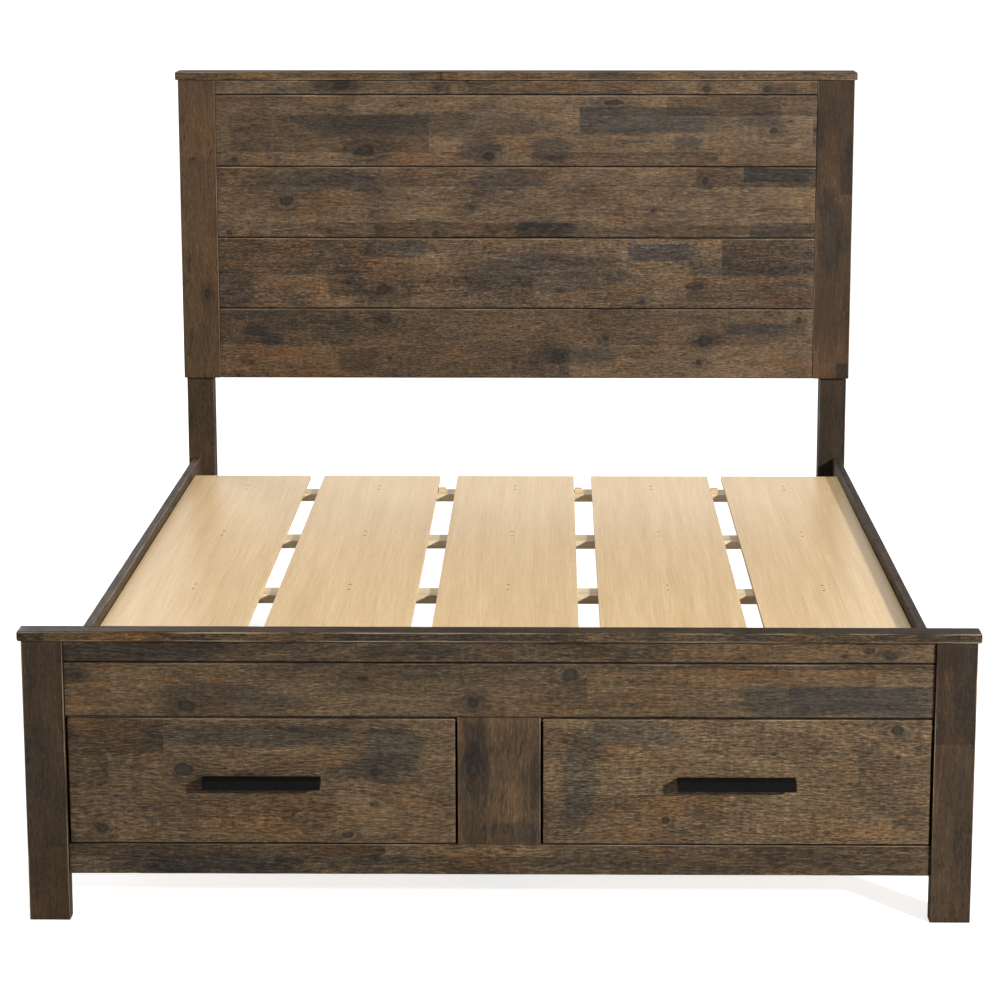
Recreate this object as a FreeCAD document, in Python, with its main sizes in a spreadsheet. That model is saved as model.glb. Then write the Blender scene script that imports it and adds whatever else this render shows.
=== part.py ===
"""Queen storage bed: panel headboard, footboard with two drawers, side rails and a slatted deck.

Millimetres, +Z up, -Y at the foot, +Y at the headboard, +X to the right seen from the foot.
The origin is on the floor, under the middle of the bed's box.
"""
import FreeCAD, Part
import os
import re
import Sketcher

LEFT = -1
RIGHT = 1
SIDES = ((LEFT, "left"), (RIGHT, "right"))
CUT_CLEARANCE = 1.0

doc = FreeCAD.newDocument("storage_bed")
sheet = doc.addObject("Spreadsheet::Sheet", "Sizes")
parts = []

SIZES = (
    # overall
    ("width_over_posts", 1645, "outer faces of posts and stiles"),
    ("cap_overhang", 6, "caps beyond posts and stiles, each way"),
    ("bed_run", 2100, "front of the posts to front of the headboard stiles"),
    ("wood_ease", 1.5, "rounding of the show edges"),
    ("cap_ease", 3, "rounding of the cap edges"),
    # headboard
    ("headboard_high", 1352, "floor to the top of the cap"),
    ("headboard_cap_thick", 20, "thickness of the cap"),
    ("headboard_rail_high", 35, "strip under the cap"),
    ("plank_high", 175, "each of the four planks"),
    ("plank_recess", 1, "planks behind the stile faces"),
    ("groove_bevel", 3, "bevels that make the grooves"),
    ("stile_wide", 90, "stiles beside the planks"),
    ("stile_depth", 25, "thickness of the stiles"),
    ("leg_wide", 66, "legs behind the stiles"),
    ("leg_depth", 40, "depth of the legs"),
    ("leg_inset", 3, "legs inside the outer faces of the stiles"),
    ("brace_wide", 70, "upright braces on the back of the planks"),
    ("brace_thick", 20, "thickness of the braces"),
    ("brace_offset", 260, "middle of a brace from the middle of the bed"),
    ("brace_short", 20, "braces stop short of the panel's edges"),
    # footboard
    ("footboard_high", 524, "floor to the top of the cap"),
    ("footboard_cap_thick", 18, "thickness of the cap"),
    ("footboard_cap_depth", 40, "front to back of the cap"),
    ("post_wide", 71, "posts, seen from the foot"),
    ("post_depth", 28, "front to back of the posts"),
    ("panel_recess", 6, "panel and drawers behind the post faces"),
    ("panel_thick", 20, "boards between the posts"),
    ("footboard_rail_high", 39, "strip under the cap"),
    ("footboard_panel_high", 98, "board above the drawers"),
    ("bottom_rail_low", 84, "floor to the bottom rail"),
    ("bottom_rail_high", 55, "height of the bottom rail"),
    ("centre_stile_wide", 144, "upright between the drawers"),
    # side rails, battens and deck
    ("rail_outer_half", 808, "middle of the bed to the outer face of a rail"),
    ("rail_thick", 18, "thickness of the side rails"),
    ("rail_high", 190, "height of the side rails"),
    ("rail_top", 391, "floor to the top of the side rails"),
    ("cleat_wide", 20, "ledger strips inside the rails"),
    ("cleat_high", 30, "height of the ledger strips"),
    ("cleat_end", 70, "ledger strips stop short of post and leg"),
    ("deck_top", 371, "floor to the top of the deck boards"),
    ("deck_thick", 10, "thickness of the deck boards"),
    ("deck_board_wide", 285, "width of a deck board"),
    ("deck_board_run", 1950, "length of a deck board"),
    ("deck_rear", 2000, "front of the posts to the rear edge of the deck"),
    ("deck_outer_half", 788.5, "middle of the bed to the edge of the deck"),
    ("deck_gap_outer", 34, "gap beside an outer board"),
    ("deck_ease", 0.8, "rounding of the deck edges"),
    ("batten_wide", 60, "front to back of a batten"),
    ("batten_thick", 18, "thickness of a batten"),
    ("batten_end_gap", 2, "batten to side rail"),
    ("batten_last", 95, "front of the posts to the middle of the foot batten"),
    ("batten_first", 425, "front of the posts to the middle of the next batten"),
    ("batten_pitch", 480, "between the other four battens"),
    ("screw_pair", 40, "between the two screws of a pair"),
    ("block_wide", 17, "locating blocks on the rear batten"),
    ("block_clear", 1.5, "locating block to the deck board on its left"),
    ("block_depth", 20, "front to back of a locating block"),
    ("block_high", 9, "height of a locating block"),
    # storage case behind the footboard
    ("case_low", 104, "floor to the underside of the case"),
    ("case_board", 18, "thickness of the case boards"),
    ("dust_board", 4, "thickness of the dust panels under the drawers"),
    ("case_rear", 480, "front of the posts to the back of the case"),
    ("support_wide", 45, "square support legs"),
    ("foot_pad_radius", 16, "levelling feet"),
    ("foot_pad_high", 7, "pad of a levelling foot"),
    ("foot_gap", 14, "floor to the underside of a support leg"),
    ("foot_stud_radius", 4, "threaded stud of a levelling foot"),
    ("foot_stud_long", 40, "stud above the pad"),
    # drawers
    ("front_gap_side", 4, "drawer front to post and stile"),
    ("front_gap_level", 2.6, "drawer front to the rails above and below"),
    ("drawer_board", 12, "sides and back of a drawer box"),
    ("drawer_run", 420, "length of a drawer side"),
    ("drawer_low", 152, "floor to the underside of a drawer side"),
    ("drawer_high", 176, "height of a drawer side"),
    ("bottom_thick", 6, "drawer bottom"),
    ("bottom_rise", 10, "drawer bottom above the underside"),
    ("bottom_groove", 5, "depth of the groove for the bottom"),
    # ball-bearing slides
    ("slide_thick", 12.7, "case board to drawer side"),
    ("slide_run", 400, "length of each member"),
    ("slide_start", 6, "slides behind the footboard"),
    ("slide_level", 215, "floor to the middle of the slides"),
    ("slide_gauge", 1.2, "steel thickness"),
    ("cabinet_member_high", 45, "outer channel"),
    ("cabinet_member_reach", 9.5, "outer channel, from the case board"),
    ("middle_member_high", 36, "middle channel"),
    ("middle_member_near", 2.4, "middle channel's web from the case board"),
    ("middle_member_reach", 11, "middle channel's lips from the case board"),
    ("drawer_member_high", 27, "inner channel"),
    ("drawer_member_near", 5, "inner channel's lips from the case board"),
    # drawer pulls
    ("pull_long", 204, "length of a pull"),
    ("pull_reach", 28, "how far a pull stands out"),
    ("pull_high", 17, "height of a pull"),
    ("pull_wall", 2.5, "metal of a pull"),
    ("pull_ease", 0.8, "rounding of a pull"),
    ("pull_screw_half", 80, "middle of the pull to a screw"),
    # fasteners
    ("deck_screw_radius", 2, "shank of a deck screw"),
    ("deck_screw_head", 4, "radius of a deck screw's head"),
    ("deck_screw_long", 24, "whole length of a deck screw"),
    ("deck_screw_sunk", 0.8, "head below the deck's surface"),
    ("bolt_radius", 3, "shank of a bracket screw"),
    ("bolt_head_radius", 6, "head of a bracket screw"),
    ("bolt_head_thick", 3, "head of a bracket screw"),
    ("rail_bolt_long", 15, "bracket screw into a rail"),
    ("post_bolt_long", 22, "bracket screw into a post or leg"),
    ("bracket_gauge", 2.5, "steel of a corner bracket"),
    ("bracket_high", 90, "height of a corner bracket"),
    ("bracket_low", 214, "floor to the underside of a corner bracket"),
    ("bracket_rail_arm", 60, "arm along the rail"),
    ("bracket_post_arm", 19, "arm across the post"),
    ("pull_screw_radius", 2, "shank of a pull screw"),
    ("pull_screw_head", 4.5, "radius of a pull screw's head"),
    ("pull_screw_head_thick", 2.4, "head of a pull screw"),
)
for row, (alias, size, meaning) in enumerate(SIZES, start=1):
    sheet.set(f"A{row}", meaning)
    sheet.set(f"B{row}", str(size))
    sheet.setAlias(f"B{row}", alias)
doc.recompute()

# Planes and levels that several pieces share, as expressions of the sheet's sizes.
POST_FRONT = "(pull_reach - panel_recess - bed_run - stile_depth - leg_depth - cap_overhang) / 2"
POST_BACK = f"{POST_FRONT} + post_depth"
PANEL_FRONT = f"{POST_FRONT} + panel_recess"
PANEL_BACK = f"{PANEL_FRONT} + panel_thick"
STILE_FRONT = f"{POST_FRONT} + bed_run"
LEG_FRONT = f"{STILE_FRONT} + stile_depth"
LEG_BACK = f"{LEG_FRONT} + leg_depth"
OUTER = "width_over_posts / 2"
CAP_OUTER = f"{OUTER} + cap_overhang"
POST_INNER = f"{OUTER} - post_wide"
STILE_INNER = f"{OUTER} - stile_wide"
LEG_OUTER = f"{OUTER} - leg_inset"
LEG_INNER = f"{OUTER} - leg_inset - leg_wide"
CENTRE_HALF = "centre_stile_wide / 2"
HEAD_CAP_LOW = "headboard_high - headboard_cap_thick"
PLANKS_TOP = f"{HEAD_CAP_LOW} - headboard_rail_high"
PLANKS_LOW = f"{PLANKS_TOP} - 4 * plank_high"
FOOT_CAP_LOW = "footboard_high - footboard_cap_thick"
FOOT_RAIL_LOW = f"{FOOT_CAP_LOW} - footboard_rail_high"
OPENING_TOP = f"{FOOT_RAIL_LOW} - footboard_panel_high"
OPENING_LOW = "bottom_rail_low + bottom_rail_high"
RAIL_INNER = "rail_outer_half - rail_thick"
BATTEN_TOP = "deck_top - deck_thick"
BATTEN_LOW = f"{BATTEN_TOP} - batten_thick"
CASE_BACK = f"{POST_FRONT} + case_rear"
BRACKET_LEVELS = ("0.25", "0.75")


def sized(expression):
    """Points every name in an expression at the spreadsheet."""
    return re.sub(r"[a-z_]+", r"Sizes.\g<0>", expression)


def bind(piece, name, expression):
    piece.setExpression(name, sized(expression))


def place(piece, corner):
    for axis, expression in zip("xyz", corner):
        bind(piece, f"Placement.Base.{axis}", expression)


def across(side, near, far):
    """The span of X between two distances from the bed's middle, on one side of it."""
    if side == RIGHT:
        return (near, far)
    return (f"-({far})", f"-({near})")


def middle(expression):
    """The span of X that is centred on the bed and reaches this far each way."""
    return (f"-({expression})", expression)


def extent(span):
    low, high = span
    return f"({high}) - ({low})"


def keep(piece, label):
    piece.Label = label
    parts.append(piece)
    return piece


def edges_where(shape, test):
    names = []
    for number, edge in enumerate(shape.Edges, start=1):
        start, end = [vertex.Point for vertex in edge.Vertexes]
        if test(start, end):
            names.append(f"Edge{number}")
    return names


def runs_along_front(start, end):
    return abs(start.y) < 0.01 and abs(end.y) < 0.01 and abs(start.z - end.z) < 0.01


def padded_body(name, x_span, y_span, z_span):
    """A body with one rectangular sketch, padded upwards."""
    body = doc.addObject("PartDesign::Body", name)
    sketch = body.newObject("Sketcher::SketchObject", name + "_outline")
    ground = [plane for plane in body.Origin.OriginFeatures if plane.Role == "XY_Plane"][0]
    sketch.AttachmentSupport = [(ground, "")]
    sketch.MapMode = "FlatFace"
    guess = 10.0
    corners = [FreeCAD.Vector(0, 0), FreeCAD.Vector(guess, 0),
               FreeCAD.Vector(guess, guess), FreeCAD.Vector(0, guess)]
    for index in range(4):
        sketch.addGeometry(Part.LineSegment(corners[index], corners[(index + 1) % 4]), False)
    for index in range(4):
        sketch.addConstraint(Sketcher.Constraint("Coincident", index, 2, (index + 1) % 4, 1))
        direction = "Horizontal" if index % 2 == 0 else "Vertical"
        sketch.addConstraint(Sketcher.Constraint(direction, index))
    sketch.addConstraint(Sketcher.Constraint("Coincident", 0, 1, -1, 1))
    wide = sketch.addConstraint(Sketcher.Constraint("DistanceX", 0, 1, 0, 2, guess))
    deep = sketch.addConstraint(Sketcher.Constraint("DistanceY", 1, 1, 1, 2, guess))
    sketch.renameConstraint(wide, "wide")
    sketch.renameConstraint(deep, "deep")
    bind(sketch, "Constraints.wide", extent(x_span))
    bind(sketch, "Constraints.deep", extent(y_span))
    pad = body.newObject("PartDesign::Pad", name + "_pad")
    pad.Profile = sketch
    bind(pad, "Length", extent(z_span))
    place(body, (x_span[0], y_span[0], z_span[0]))
    return body, pad


def board(name, x_span, y_span, z_span, ease="wood_ease"):
    """A board with every edge rounded."""
    body, pad = padded_body(name, x_span, y_span, z_span)
    rounding = body.newObject("PartDesign::Fillet", name + "_ease")
    rounding.Base = (pad, [""])
    rounding.UseAllEdges = True
    bind(rounding, "Radius", ease)
    return body


def grooved_board(name, x_span, y_span, z_span):
    """A board whose long front edges are bevelled, so that two of them make a V groove."""
    body, pad = padded_body(name, x_span, y_span, z_span)
    doc.recompute()
    bevel = body.newObject("PartDesign::Chamfer", name + "_bevel")
    bevel.Base = (pad, edges_where(pad.Shape, runs_along_front))
    bind(bevel, "Size", "groove_bevel")
    return body


def block(name, x_span, y_span, z_span):
    """A plain sawn block."""
    piece = doc.addObject("Part::Box", name)
    bind(piece, "Length", extent(x_span))
    bind(piece, "Width", extent(y_span))
    bind(piece, "Height", extent(z_span))
    place(piece, (x_span[0], y_span[0], z_span[0]))
    return piece


def rod(name, radius, length, start, direction=(0, 0, 1)):
    piece = doc.addObject("Part::Cylinder", name)
    bind(piece, "Radius", radius)
    bind(piece, "Height", length)
    piece.Placement.Rotation = FreeCAD.Rotation(FreeCAD.Vector(0, 0, 1), FreeCAD.Vector(*direction))
    place(piece, start)
    return piece


def joined(name, pieces):
    fuse = doc.addObject("Part::MultiFuse", name)
    fuse.Shapes = pieces
    fuse.Refine = True
    return fuse


def grouped(name, pieces):
    group = doc.addObject("Part::Compound", name)
    group.Links = pieces
    return group


def cut(name, base, tool):
    piece = doc.addObject("Part::Cut", name)
    piece.Base = base
    piece.Tool = tool
    return piece


def build_headboard(bracket_screws):
    full_depth = (f"{STILE_FRONT} - cap_overhang", f"{LEG_BACK} + cap_overhang")
    cap = board("headboard_cap_board", middle(CAP_OUTER), full_depth,
                (HEAD_CAP_LOW, "headboard_high"), "cap_ease")
    keep(cap, "headboard_cap")
    plank_depth = (f"{STILE_FRONT} + plank_recess", LEG_FRONT)
    rail = grooved_board("headboard_strip", middle(STILE_INNER), plank_depth,
                         (PLANKS_TOP, HEAD_CAP_LOW))
    keep(rail, "headboard_top_rail")
    for count in range(4):
        levels = (f"{PLANKS_TOP} - {count + 1} * plank_high", f"{PLANKS_TOP} - {count} * plank_high")
        plank = grooved_board(f"headboard_board_{count + 1}", middle(STILE_INNER), plank_depth, levels)
        keep(plank, f"headboard_plank_{count + 1}")
    for side, word in SIDES:
        stile = board(f"stile_{word}", across(side, STILE_INNER, OUTER), (STILE_FRONT, LEG_FRONT),
                      (PLANKS_LOW, HEAD_CAP_LOW))
        keep(stile, f"headboard_stile_{word}")
        leg = board(f"leg_{word}", across(side, LEG_INNER, LEG_OUTER), (LEG_FRONT, LEG_BACK),
                    ("0", HEAD_CAP_LOW))
        keep(cut(f"leg_{word}_drilled", leg, bracket_screws), f"headboard_leg_{word}")
    braces = []
    for side, word in SIDES:
        span = across(side, "brace_offset - brace_wide / 2", "brace_offset + brace_wide / 2")
        levels = (f"{PLANKS_LOW} + brace_short", f"{HEAD_CAP_LOW} - brace_short")
        braces.append(board(f"brace_{word}", span, (LEG_FRONT, f"{LEG_FRONT} + brace_thick"), levels))
    keep(grouped("braces", braces), "headboard_back_braces")


def build_footboard(bracket_screws):
    cap_front = f"{POST_FRONT} - cap_overhang"
    cap = board("footboard_cap_board", middle(CAP_OUTER),
                (cap_front, f"{cap_front} + footboard_cap_depth"),
                (FOOT_CAP_LOW, "footboard_high"), "cap_ease")
    keep(cap, "footboard_cap")
    panel_depth = (PANEL_FRONT, PANEL_BACK)
    rail = grooved_board("footboard_strip", middle(POST_INNER), panel_depth,
                         (FOOT_RAIL_LOW, FOOT_CAP_LOW))
    keep(rail, "footboard_top_rail")
    panel = grooved_board("footboard_board", middle(POST_INNER), panel_depth,
                          (OPENING_TOP, FOOT_RAIL_LOW))
    keep(panel, "footboard_panel")
    bottom = board("footboard_low_board", middle(POST_INNER), panel_depth,
                   ("bottom_rail_low", OPENING_LOW))
    keep(bottom, "footboard_bottom_rail")
    centre = board("footboard_upright", middle(CENTRE_HALF), panel_depth, (OPENING_LOW, OPENING_TOP))
    keep(centre, "footboard_centre_stile")
    for side, word in SIDES:
        post = board(f"post_{word}", across(side, POST_INNER, OUTER), (POST_FRONT, POST_BACK),
                     ("0", FOOT_CAP_LOW))
        keep(cut(f"post_{word}_drilled", post, bracket_screws), f"footboard_post_{word}")


def corner_brackets():
    """Angle brackets that hold the side rails to the posts and legs, and their screws."""
    angles = []
    screws = []
    arm_levels = ("bracket_low", "bracket_low + bracket_high")
    for side, word in SIDES:
        for end, wall, inward in (("foot", POST_BACK, 1), ("head", LEG_FRONT, -1)):
            def along(distance, wall=wall, inward=inward):
                return f"{wall} + {inward} * ({distance})"
            name = f"{word}_{end}"
            arm = sorted_span(along("0"), along("bracket_rail_arm"), inward)
            plate = sorted_span(along("0"), along("bracket_gauge"), inward)
            on_rail = block(f"bracket_arm_{name}",
                            across(side, f"{RAIL_INNER} - bracket_gauge", RAIL_INNER), arm, arm_levels)
            on_post = block(f"bracket_plate_{name}",
                            across(side, f"{RAIL_INNER} - bracket_post_arm", RAIL_INNER),
                            plate, arm_levels)
            angles.append(joined(f"angle_{name}", [on_rail, on_post]))
            for index, level in enumerate(BRACKET_LEVELS):
                height = f"bracket_low + {level} * bracket_high"
                rail_face = f"{side} * ({RAIL_INNER} - bracket_gauge)"
                rail_spot = (rail_face, along("bracket_rail_arm * 0.65"), height)
                screws += pan_screw(f"rail_bolt_{name}_{index}", rail_spot, (side, 0, 0),
                                    "rail_bolt_long")
                post_line = f"{side} * ({RAIL_INNER} - bracket_post_arm / 2 - bracket_gauge / 2)"
                post_spot = (post_line, along("bracket_gauge"), height)
                screws += pan_screw(f"post_bolt_{name}_{index}", post_spot, (0, -inward, 0),
                                    "post_bolt_long")
    return angles, joined("bracket_screw_set", screws)


def sorted_span(start, end, direction):
    if direction > 0:
        return (start, end)
    return (end, start)


def pan_screw(name, spot, direction, length):
    """A screw whose head bears on the surface at spot and whose shank goes in along direction."""
    shank = rod(name + "_shank", "bolt_radius", length, spot, direction)
    outwards = [-step for step in direction]
    head = rod(name + "_head", "bolt_head_radius", "bolt_head_thick", spot, outwards)
    return [shank, head]


def build_side_rails(bracket_screws):
    rail_levels = ("rail_top - rail_high", "rail_top")
    cleat_run = (f"{POST_BACK} + cleat_end", f"{LEG_FRONT} - cleat_end")
    cleats = []
    for side, word in SIDES:
        rail = board(f"rail_{word}", across(side, RAIL_INNER, "rail_outer_half"),
                     (POST_BACK, LEG_FRONT), rail_levels)
        keep(cut(f"rail_{word}_drilled", rail, bracket_screws), f"side_rail_{word}")
        cleats.append(board(f"cleat_{word}", across(side, f"{RAIL_INNER} - cleat_wide", RAIL_INNER),
                            cleat_run, (f"{BATTEN_LOW} - cleat_high", BATTEN_LOW)))
    keep(grouped("cleats", cleats), "rail_cleats")


def batten_lines():
    """The middle line of each batten, from the foot to the headboard."""
    lines = [f"{POST_FRONT} + batten_last"]
    lines += [f"{POST_FRONT} + batten_first + {count} * batten_pitch" for count in range(4)]
    return lines


def deck_board_spans():
    """The span of X of each deck board, from left to right."""
    outer = across(LEFT, "deck_outer_half - deck_board_wide", "deck_outer_half")
    inner_far = "deck_outer_half - deck_board_wide - deck_gap_outer"
    inner = across(LEFT, f"{inner_far} - deck_board_wide", inner_far)
    centre = middle("deck_board_wide / 2")
    right = [across(RIGHT, f"{inner_far} - deck_board_wide", inner_far),
             across(RIGHT, "deck_outer_half - deck_board_wide", "deck_outer_half")]
    return [outer, inner, centre] + right


def deck_screws(lines, spans):
    """Countersunk screws in pairs, each board to each batten, and the holes that take them."""
    screws = []
    recesses = []
    head_top = "deck_top - deck_screw_sunk"
    head_deep = "(deck_screw_head - deck_screw_radius)"
    for column, span in enumerate(spans):
        centre = f"(({span[0]}) + ({span[1]})) / 2"
        for row, line in enumerate(lines):
            for pair, offset in enumerate((-0.5, 0.5)):
                name = f"deck_screw_{column}_{row}_{pair}"
                across_line = f"{line} + {offset} * screw_pair"
                head = doc.addObject("Part::Cone", name + "_head")
                bind(head, "Radius1", "deck_screw_radius")
                bind(head, "Radius2", "deck_screw_head")
                bind(head, "Height", head_deep)
                place(head, (centre, across_line, f"{head_top} - {head_deep}"))
                tip = f"{head_top} - deck_screw_long"
                shank = rod(name + "_shank", "deck_screw_radius", f"deck_screw_long - {head_deep}",
                            (centre, across_line, tip))
                recess = rod(name + "_recess", "deck_screw_head", f"deck_screw_sunk + {CUT_CLEARANCE}",
                             (centre, across_line, head_top))
                screws += [head, shank]
                recesses.append(recess)
    screw_set = joined("deck_screw_set", screws)
    return screw_set, joined("deck_screw_holes", [screw_set] + recesses)


def build_deck():
    lines = batten_lines()
    spans = deck_board_spans()
    screw_set, holes = deck_screws(lines, spans)
    for number, line in enumerate(lines, start=1):
        batten = board(f"batten_{number}_board", middle(f"{RAIL_INNER} - batten_end_gap"),
                       (f"{line} - batten_wide / 2", f"{line} + batten_wide / 2"),
                       (BATTEN_LOW, BATTEN_TOP), "deck_ease")
        keep(cut(f"batten_{number}_drilled", batten, screw_set), f"batten_{number}")
    rear = f"{POST_FRONT} + deck_rear"
    for number, span in enumerate(spans, start=1):
        plate = board(f"deck_board_{number}_plate", span, (f"{rear} - deck_board_run", rear),
                      (BATTEN_TOP, "deck_top"), "deck_ease")
        keep(cut(f"deck_board_{number}_drilled", plate, holes), f"deck_board_{number}")
    keep(screw_set, "deck_screws")
    blocks = []
    for index in (1, 2, 3):
        near = f"{spans[index][1]} + block_clear"
        blocks.append(board(f"block_{index}", (near, f"{near} + block_wide"),
                            (f"{lines[-1]} - block_depth / 2", f"{lines[-1]} + block_depth / 2"),
                            (BATTEN_TOP, f"{BATTEN_TOP} + block_high"), "deck_ease"))
    keep(grouped("blocks", blocks), "locating_blocks")


def build_supports():
    """Legs under the battens and the case, each on a levelling foot."""
    lines = batten_lines()
    half = "support_wide / 2"
    spots = [("0", line, BATTEN_LOW) for line in lines[2:]]
    case_leg_line = f"{CASE_BACK} - {half}"
    divider_line = f"{CENTRE_HALF} - case_board / 2"
    spots += [(f"{side} * ({divider_line})", case_leg_line, "case_low") for side, word in SIDES]
    legs = []
    feet = []
    for number, (line, station, top) in enumerate(spots):
        legs.append(board(f"support_{number}", (f"{line} - {half}", f"{line} + {half}"),
                          (f"{station} - {half}", f"{station} + {half}"), ("foot_gap", top)))
        feet.append(rod(f"foot_pad_{number}", "foot_pad_radius", "foot_pad_high",
                        (line, station, "0")))
        feet.append(rod(f"foot_stud_{number}", "foot_stud_radius", "foot_stud_long",
                        (line, station, "foot_pad_high")))
    foot_set = joined("foot_set", feet)
    keep(cut("supports_drilled", grouped("supports", legs), foot_set), "support_legs")
    keep(foot_set, "levelling_feet")


def build_case():
    depth = (PANEL_BACK, f"{CASE_BACK} - case_board")
    levels = ("case_low", BATTEN_LOW)
    dividers = []
    for side, word in SIDES:
        wall = board(f"case_wall_{word}", across(side, POST_INNER, f"{POST_INNER} + case_board"),
                     (POST_BACK, f"{CASE_BACK} - case_board"), levels)
        keep(wall, f"case_side_{word}")
        dividers.append(board(f"divider_{word}", across(side, f"{CENTRE_HALF} - case_board", CENTRE_HALF),
                              depth, levels))
        dividers.append(board(f"dust_panel_{word}", across(side, CENTRE_HALF, POST_INNER), depth,
                              ("case_low", "case_low + dust_board")))
    keep(grouped("dividers", dividers), "case_dividers")
    back = board("case_back_board", middle(f"{POST_INNER} + case_board"),
                 (f"{CASE_BACK} - case_board", CASE_BACK), levels)
    keep(back, "case_back")


def slide_walls(side):
    """For each slide of a drawer, the span of X between two distances from its case board."""
    def from_divider(near, far):
        return across(side, f"{CENTRE_HALF} + {near}", f"{CENTRE_HALF} + {far}")

    def from_case_side(near, far):
        return across(side, f"{POST_INNER} - ({far})", f"{POST_INNER} - ({near})")

    return (("inner", from_divider), ("outer", from_case_side))


def channel(name, wall_span, web, lips, height):
    """A folded steel channel: web at one distance from the case board, lips reaching to another."""
    start = f"{PANEL_BACK} + slide_start"
    run = (start, f"{start} + slide_run")
    near, far, opening = web
    outside = block(name + "_outside", wall_span(near, far), run,
                    (f"slide_level - {height} / 2", f"slide_level + {height} / 2"))
    past = (f"{start} - {CUT_CLEARANCE}", f"{start} + slide_run + {CUT_CLEARANCE}")
    hollow = block(name + "_hollow", wall_span(*lips), past,
                   (f"slide_level - {height} / 2 + slide_gauge",
                    f"slide_level + {height} / 2 - slide_gauge"))
    return cut(f"{name}_{opening}", outside, hollow)


def cabinet_channel(name, wall_span):
    return channel(name, wall_span, ("0", "cabinet_member_reach", "open_to_drawer"),
                   ("slide_gauge", f"cabinet_member_reach + {CUT_CLEARANCE}"), "cabinet_member_high")


def middle_channel(name, wall_span):
    return channel(name, wall_span, ("middle_member_near", "middle_member_reach", "open_to_drawer"),
                   ("middle_member_near + slide_gauge", f"middle_member_reach + {CUT_CLEARANCE}"),
                   "middle_member_high")


def drawer_channel(name, wall_span):
    return channel(name, wall_span, ("drawer_member_near", "slide_thick", "open_to_case"),
                   (f"drawer_member_near - {CUT_CLEARANCE}", "slide_thick - slide_gauge"),
                   "drawer_member_high")


def build_slides():
    fixed = []
    for side, word in SIDES:
        middles = []
        for place_word, wall_span in slide_walls(side):
            name = f"{word}_{place_word}"
            fixed.append(cabinet_channel(f"cabinet_channel_{name}", wall_span))
            middles.append(middle_channel(f"middle_channel_{name}", wall_span))
        keep(grouped(f"{word}_middles", middles), f"{word}_slide_middle_members")
    keep(grouped("cabinet_channels", fixed), "slide_cabinet_members")


def pull_screws(word, line, level):
    """Two screws from inside the drawer, through its front, into the pull's back wall."""
    screws = []
    for index, step in enumerate((-1, 1)):
        spot = (f"{line} + {step} * pull_screw_half", PANEL_BACK, level)
        screws.append(rod(f"{word}_pull_screw_{index}_shank", "pull_screw_radius",
                          "panel_thick + pull_wall", spot, (0, -1, 0)))
        screws.append(rod(f"{word}_pull_screw_{index}_head", "pull_screw_head",
                          "pull_screw_head_thick", spot, (0, 1, 0)))
    return joined(f"{word}_pull_screw_set", screws)


def build_pull(word, line, level, screws):
    """A black cup pull: closed on top, open below for the fingers."""
    half = "pull_long / 2"
    levels = (f"{level} - pull_high / 2", f"{level} + pull_high / 2")
    shell = board(f"{word}_pull_shell", (f"{line} - {half}", f"{line} + {half}"),
                  (f"{PANEL_FRONT} - pull_reach", PANEL_FRONT), levels, "pull_ease")
    finger_space = block(f"{word}_pull_finger_space",
                         (f"{line} - {half} + pull_wall", f"{line} + {half} - pull_wall"),
                         (f"{PANEL_FRONT} - pull_reach + pull_wall", f"{PANEL_FRONT} - pull_wall"),
                         (f"{levels[0]} - {CUT_CLEARANCE}", f"{levels[1]} - pull_wall"))
    hollow = cut(f"{word}_pull_hollow", shell, finger_space)
    keep(cut(f"{word}_pull_drilled", hollow, screws), f"{word}_drawer_handle")


def build_drawer(side, word):
    line = f"{side} * ({POST_INNER} + {CENTRE_HALF}) / 2"
    level = f"(({OPENING_TOP}) + ({OPENING_LOW})) / 2"
    screws = pull_screws(word, line, level)
    front = board(f"{word}_front_board",
                  across(side, f"{CENTRE_HALF} + front_gap_side", f"{POST_INNER} - front_gap_side"),
                  (PANEL_FRONT, PANEL_BACK),
                  (f"{OPENING_LOW} + front_gap_level", f"{OPENING_TOP} - front_gap_level"))
    keep(cut(f"{word}_front_drilled", front, screws), f"{word}_drawer_front")
    build_pull(word, line, level, screws)
    keep(screws, f"{word}_handle_screws")

    run = (PANEL_BACK, f"{PANEL_BACK} + drawer_run")
    levels = ("drawer_low", "drawer_low + drawer_high")
    inner = (f"{CENTRE_HALF} + slide_thick", f"{CENTRE_HALF} + slide_thick + drawer_board")
    outer = (f"{POST_INNER} - slide_thick - drawer_board", f"{POST_INNER} - slide_thick")
    floor_low = "drawer_low + bottom_rise"
    floor = block(f"{word}_floor_panel",
                  across(side, f"{inner[1]} - bottom_groove", f"{outer[0]} + bottom_groove"),
                  (PANEL_BACK, f"{PANEL_BACK} + drawer_run - drawer_board + bottom_groove"),
                  (floor_low, f"{floor_low} + bottom_thick"))
    for place_word, span in (("inner", inner), ("outer", outer)):
        wall = board(f"{word}_wall_{place_word}", across(side, *span), run, levels)
        keep(cut(f"{word}_wall_{place_word}_grooved", wall, floor), f"{word}_drawer_side_{place_word}")
    back = board(f"{word}_back_board", across(side, inner[1], outer[0]),
                 (f"{PANEL_BACK} + drawer_run - drawer_board", f"{PANEL_BACK} + drawer_run"), levels)
    keep(cut(f"{word}_back_grooved", back, floor), f"{word}_drawer_back")
    keep(floor, f"{word}_drawer_bottom")
    members = [drawer_channel(f"drawer_channel_{word}_{place_word}", wall_span)
               for place_word, wall_span in slide_walls(side)]
    keep(grouped(f"{word}_drawer_channels", members), f"{word}_slide_drawer_members")


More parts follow.
